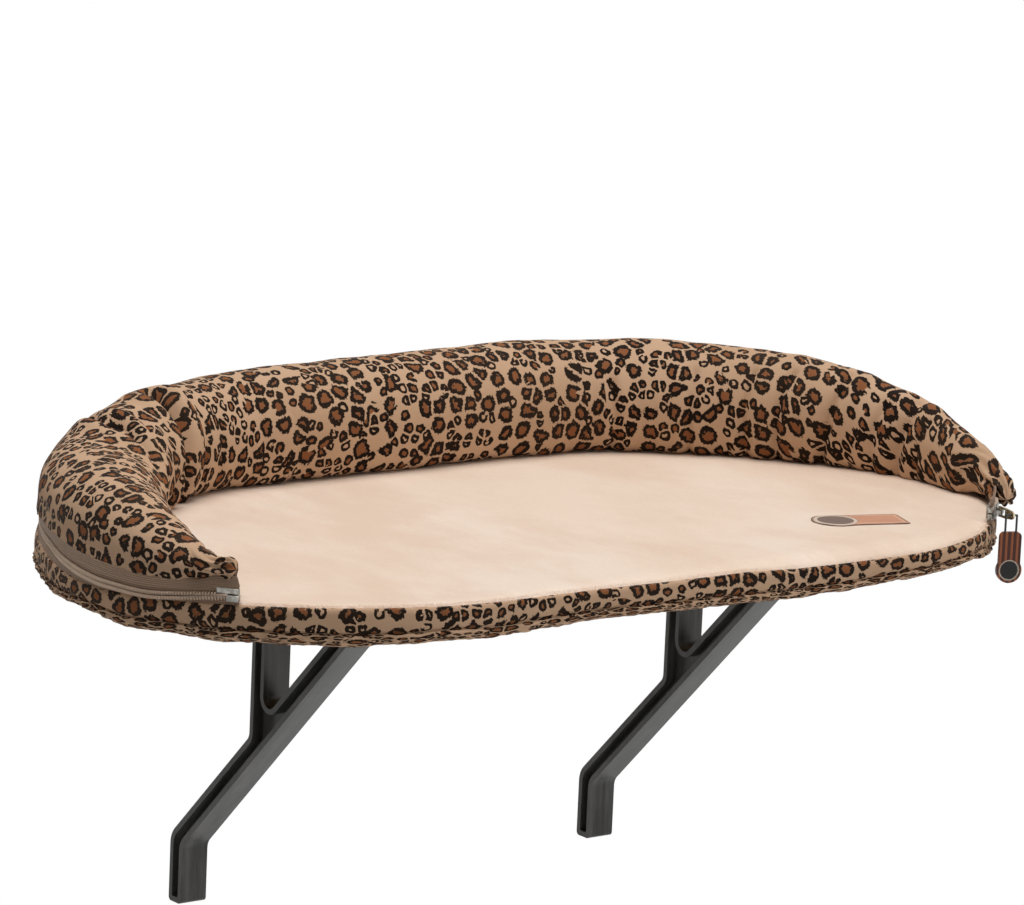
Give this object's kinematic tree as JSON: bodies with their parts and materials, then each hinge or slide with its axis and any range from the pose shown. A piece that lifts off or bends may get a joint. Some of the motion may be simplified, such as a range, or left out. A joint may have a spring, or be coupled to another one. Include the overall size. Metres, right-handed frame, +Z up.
{
  "type": "window mounted cat perch",
  "caption": "Padded half-round pet perch for a window sill, with a zip-on stuffed bolster and two moulded braces that bear on the wall below.",
  "frame": {"origin": "centre of the adhesive face of the sill strip, on top of the window sill", "axes": "+X along the sill, +Y towards the window, +Z up"},
  "size_m": [0.6146, 0.3623, 0.3101],
  "materials": {
    "board_wood": "sanded fibreboard",
    "foam": "open-cell foam",
    "plush": "short fleece pile",
    "print_cotton": "printed cotton weave",
    "elastic": "woven elastic",
    "label_weave": "woven label",
    "strip_fabric": "loop side of a hook and loop strip",
    "strip_hook": "hook side with an adhesive back",
    "brace_plastic": "moulded, satin",
    "screw_steel": "zinc plated",
    "zip_tape": "woven tape",
    "zip_teeth": "nylon coil",
    "zip_metal": "nickel plated",
    "link_brass": "polished",
    "loop_black": "coated wire",
    "tag_rubber": "moulded soft rubber"
  },
  "bodies": {
    "root": {"shelf_board": "board_wood", "foam_pad": "foam", "plush_top": "plush", "side_band": "print_cotton", "underside_hem": "print_cotton", "hem_elastic": "elastic", "sewn_label": "label_weave", "sill_loop_strip": "strip_fabric", "sill_hook_strip": "strip_hook", "brace_left": "brace_plastic", "brace_right": "brace_plastic", "brace_screws_left": "screw_steel", "brace_screws_right": "screw_steel", "zip_tape_lower": "zip_tape", "zip_teeth_lower": "zip_teeth", "zip_box": "zip_metal", "zip_stop_lower": "zip_metal"},
    "bolster": {"bolster_cushion": "print_cotton", "zip_tape_upper": "zip_tape", "zip_teeth_upper": "zip_teeth", "zip_pin": "zip_metal", "zip_stop_upper": "zip_metal"},
    "slider": {"zip_slider": "zip_metal"},
    "link": {"pull_link": "link_brass"},
    "tag": {"pull_loop": "loop_black", "pull_tag": "tag_rubber"}
  },
  "joints": [
    {"name": "bolster_lift", "type": "slide", "parent": "root", "child": "bolster", "axis": [0, 0, 1], "range_m": [0, 0.15]},
    {"name": "zip_slider_run", "type": "hinge", "parent": "root", "child": "slider", "pos_m": [0.152, -0.182, 0.0299], "axis": [0, 0, 1], "range_deg": [0, 45]},
    {"name": "pull_link_swing", "type": "hinge", "parent": "slider", "child": "link", "pos_m": [0.25534, -0.30158, 0.0299], "axis": [0, 0, 1], "range_deg": [-3, 94]},
    {"name": "pull_tag_swing", "type": "hinge", "parent": "link", "child": "tag", "pos_m": [0.25427, -0.31353, 0.0299], "axis": [-0.9194, 0.3934, 0], "range_deg": [-6, 60]}
  ]
}
